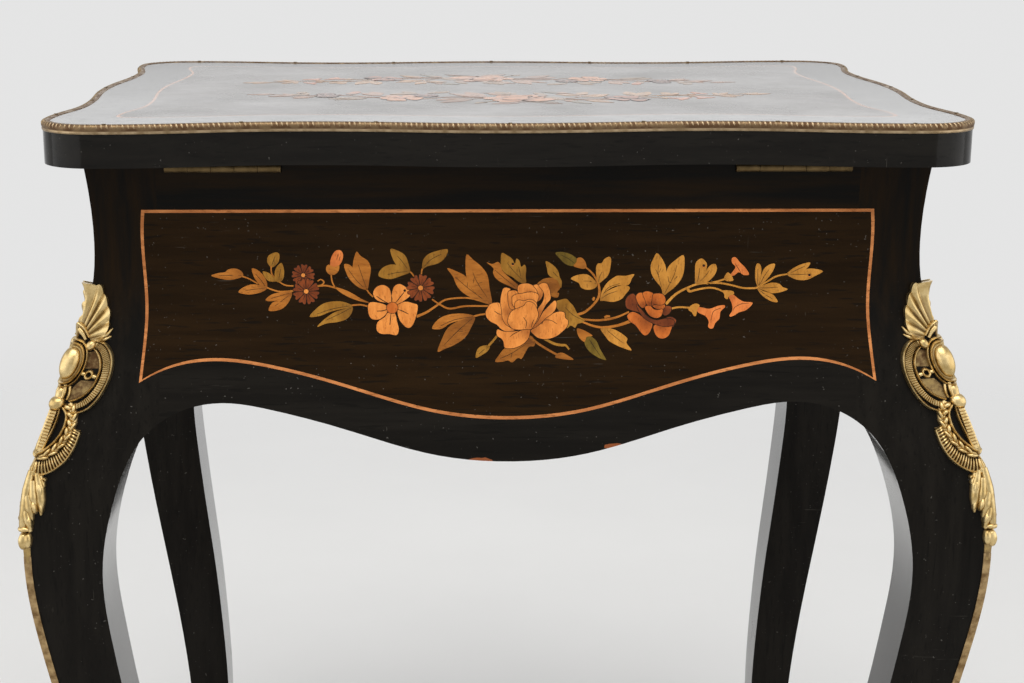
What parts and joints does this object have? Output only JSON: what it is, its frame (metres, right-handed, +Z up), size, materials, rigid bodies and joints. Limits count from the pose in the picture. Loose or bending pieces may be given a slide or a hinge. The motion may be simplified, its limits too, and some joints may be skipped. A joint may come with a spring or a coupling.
{
  "type": "dressing table",
  "caption": "Ebonised lift-top dressing table with bombe aprons, floral marquetry, gilt bronze corner mounts, cabriole legs and a mirror under the hinged lid.",
  "frame": {"origin": "centre of the base on the floor", "axes": "+Z up, +X along the width, +Y towards the lock side, so the hinged back faces -Y"},
  "size_m": [0.641, 0.499, 0.73],
  "materials": {
    "ebonised_wood": "ebonised and French polished",
    "field_veneer": "dark veneer, polished",
    "string_inlay": "pale stringing, polished",
    "gilt_bronze": "gilt cast bronze",
    "edge_brass": "worn brass moulding",
    "fitting_brass": "aged brass",
    "lock_steel": "worn steel",
    "inside_wood": "waxed reddish wood",
    "gilt_wood": "gilt moulding",
    "mirror": "silvered glass"
  },
  "bodies": {
    "case": {"back_apron": "ebonised_wood", "back_field": "field_veneer", "back_stringing": "string_inlay", "corner_mount_back_left": "gilt_bronze", "corner_mount_back_right": "gilt_bronze", "corner_mount_front_left": "gilt_bronze", "corner_mount_front_right": "gilt_bronze", "front_apron": "ebonised_wood", "front_field": "field_veneer", "front_stringing": "string_inlay", "hinge_case_screws": "fitting_brass", "keyhole_escutcheon": "fitting_brass", "left_apron": "ebonised_wood", "left_cross_partition": "inside_wood", "left_field": "field_veneer", "left_hinge_case_leaf": "fitting_brass", "left_hinge_pin": "fitting_brass", "left_partition": "inside_wood", "left_stringing": "string_inlay", "leg_back_left": "ebonised_wood", "leg_back_right": "ebonised_wood", "leg_edging_back_left": "edge_brass", "leg_edging_back_right": "edge_brass", "leg_edging_front_left": "edge_brass", "leg_edging_front_right": "edge_brass", "leg_front_left": "ebonised_wood", "leg_front_right": "ebonised_wood", "lock_case": "fitting_brass", "lock_screws": "fitting_brass", "right_apron": "ebonised_wood", "right_cross_partition": "inside_wood", "right_field": "field_veneer", "right_hinge_case_leaf": "fitting_brass", "right_hinge_pin": "fitting_brass", "right_partition": "inside_wood", "right_stringing": "string_inlay", "sabot_back_left": "gilt_bronze", "sabot_back_right": "gilt_bronze", "sabot_front_left": "gilt_bronze", "sabot_front_right": "gilt_bronze", "well_floor": "inside_wood"},
    "lid": {"hinge_lid_screws": "fitting_brass", "left_hinge_lid_leaf": "fitting_brass", "lid_board": "ebonised_wood", "lid_field": "field_veneer", "lid_stringing": "string_inlay", "lock_strike": "fitting_brass", "mirror_frame": "gilt_wood", "mirror_glass": "mirror", "right_hinge_lid_leaf": "fitting_brass", "rim_back_left": "edge_brass", "rim_back_right": "edge_brass", "rim_front_left": "edge_brass", "rim_front_right": "edge_brass", "rim_pins": "fitting_brass", "strike_screws": "fitting_brass"},
    "key": {"lock_key": "lock_steel"},
    "bolt": {"lock_bolt": "lock_steel"}
  },
  "joints": [
    {"name": "lid_hinge", "type": "hinge", "parent": "case", "child": "lid", "pos_m": [0, -0.2034, 0.6987], "axis": [1, 0, 0], "range_deg": [0, 100]},
    {"name": "key_turn", "type": "hinge", "parent": "case", "child": "key", "pos_m": [0, 0.203, 0.6747], "axis": [0, 1, 0], "range_deg": [0, 180]},
    {"name": "bolt_throw", "type": "slide", "parent": "case", "child": "bolt", "axis": [1, 0, 0], "range_m": [0, 0.007]}
  ],
  "couplings": [
    {"joint": "bolt_throw", "follows": "key_turn", "m_per_rad": 0.0022282}
  ]
}
